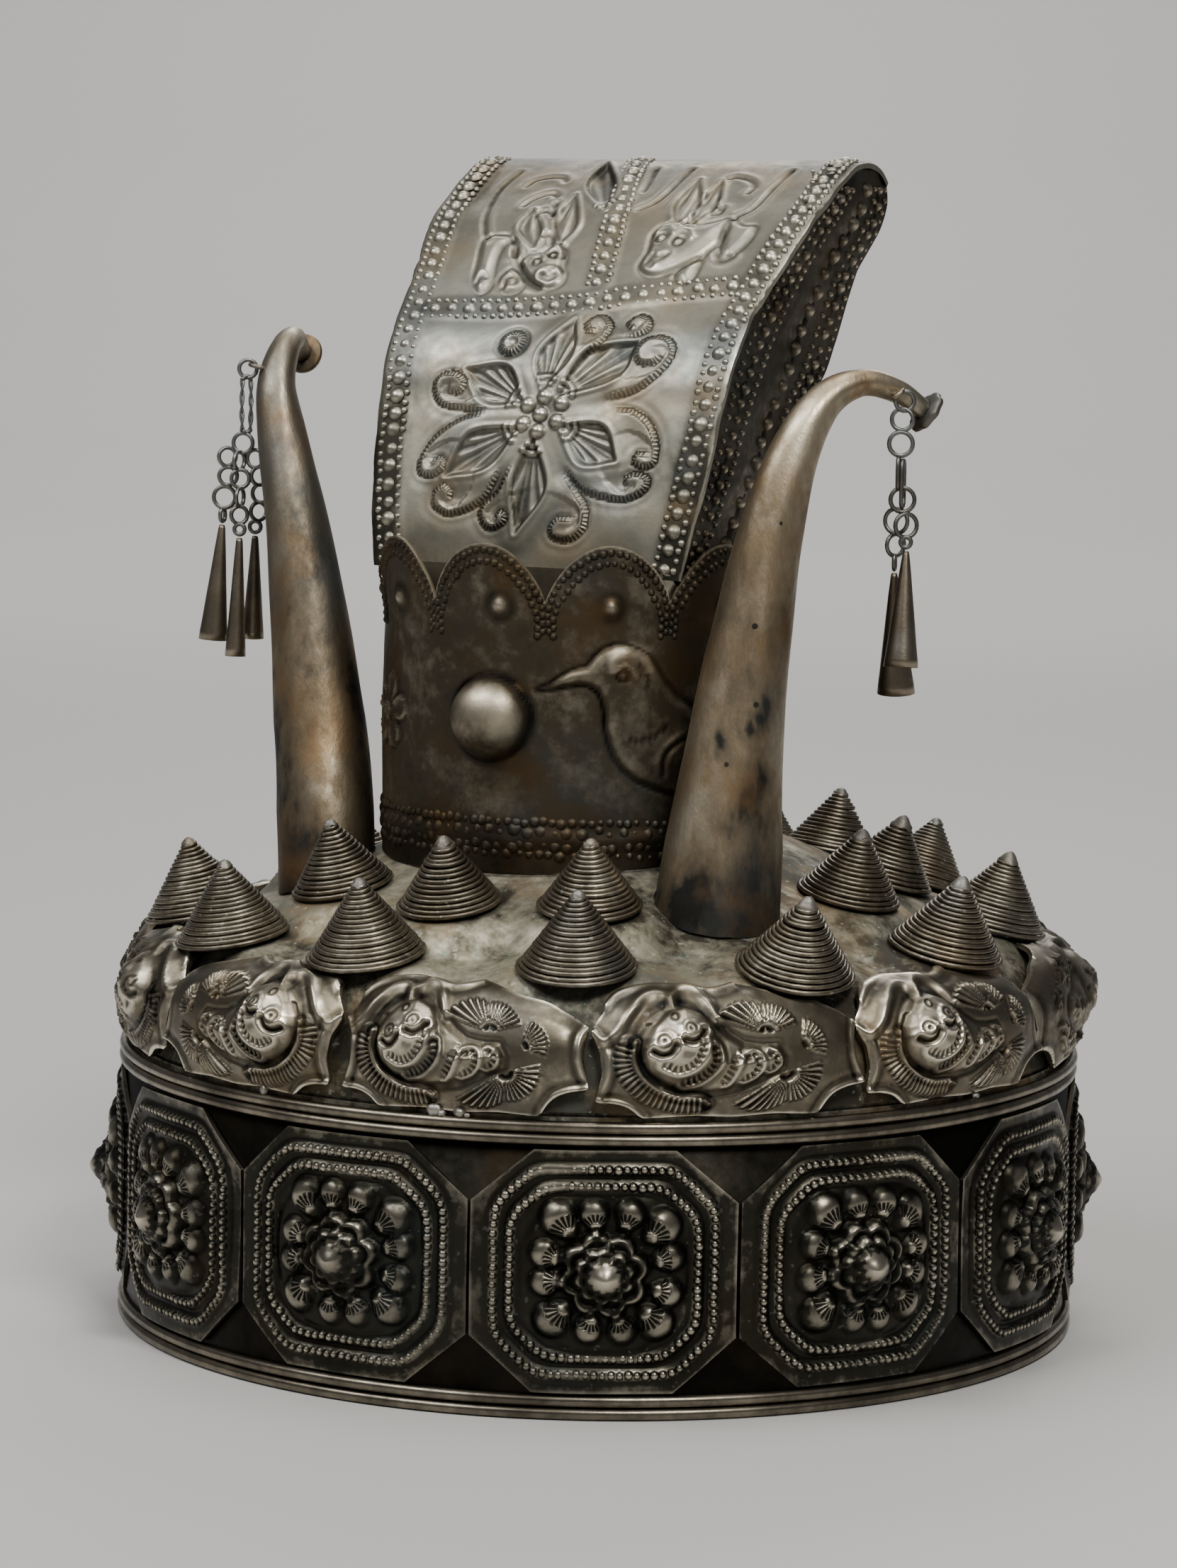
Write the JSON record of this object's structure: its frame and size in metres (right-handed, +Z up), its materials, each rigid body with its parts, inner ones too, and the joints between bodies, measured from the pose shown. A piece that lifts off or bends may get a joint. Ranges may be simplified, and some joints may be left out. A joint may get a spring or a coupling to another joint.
{
  "type": "silver ceremonial headdress",
  "caption": "Festive silver headdress: a plaque-clad band and domed cap with spiral-wire cones, two curved horns with hanging jingles, and a scalloped collar holding a tall embossed crest.",
  "frame": {"origin": "centre of the bottom rim's plane", "axes": "+Z up, -Y towards the front, +X towards the wearer's left"},
  "size_m": [0.23, 0.23, 0.2646],
  "materials": {
    "band_silver": "dark tarnished silver, worn bright on wires",
    "octagon_silver": "tarnished silver with bright beads",
    "cap_silver": "dull dusty silver",
    "plaque_silver": "embossed silver, bright on the relief",
    "cone_wire": "grey-brown tarnished wire",
    "horn_silver": "smooth mottled brown silver",
    "collar_silver": "darkened silver",
    "crest_silver": "embossed silver, the brightest part",
    "chain_silver": "worn silver wire",
    "bell_silver": "worn sheet silver"
  },
  "bodies": {
    "root": {"band": "band_silver", "octagon_01": "octagon_silver", "octagon_02": "octagon_silver", "octagon_03": "octagon_silver", "octagon_04": "octagon_silver", "octagon_05": "octagon_silver", "octagon_06": "octagon_silver", "octagon_07": "octagon_silver", "octagon_08": "octagon_silver", "octagon_09": "octagon_silver", "octagon_10": "octagon_silver", "octagon_11": "octagon_silver", "octagon_12": "octagon_silver", "cap": "cap_silver", "fish_plaque_01": "plaque_silver", "fish_plaque_02": "plaque_silver", "fish_plaque_03": "plaque_silver", "fish_plaque_04": "plaque_silver", "fish_plaque_05": "plaque_silver", "fish_plaque_06": "plaque_silver", "fish_plaque_07": "plaque_silver", "fish_plaque_08": "plaque_silver", "fish_plaque_09": "plaque_silver", "fish_plaque_10": "plaque_silver", "fish_plaque_11": "plaque_silver", "fish_plaque_12": "plaque_silver", "outer_cone_01": "cone_wire", "outer_cone_02": "cone_wire", "outer_cone_03": "cone_wire", "outer_cone_04": "cone_wire", "outer_cone_05": "cone_wire", "outer_cone_06": "cone_wire", "outer_cone_07": "cone_wire", "outer_cone_08": "cone_wire", "outer_cone_09": "cone_wire", "outer_cone_10": "cone_wire", "outer_cone_11": "cone_wire", "outer_cone_12": "cone_wire", "inner_cone_01": "cone_wire", "inner_cone_02": "cone_wire", "inner_cone_03": "cone_wire", "inner_cone_04": "cone_wire", "inner_cone_05": "cone_wire", "inner_cone_06": "cone_wire", "inner_cone_07": "cone_wire", "inner_cone_08": "cone_wire", "inner_cone_09": "cone_wire", "inner_cone_10": "cone_wire", "horn_right": "horn_silver", "horn_left": "horn_silver", "collar": "collar_silver", "crest_front": "crest_silver", "crest_back": "crest_silver", "chain_right": "chain_silver", "chain_left": "chain_silver", "bell_01": "bell_silver", "bell_02": "bell_silver", "bell_03": "bell_silver", "bell_04": "bell_silver", "bell_05": "bell_silver"}
  },
  "joints": []
}
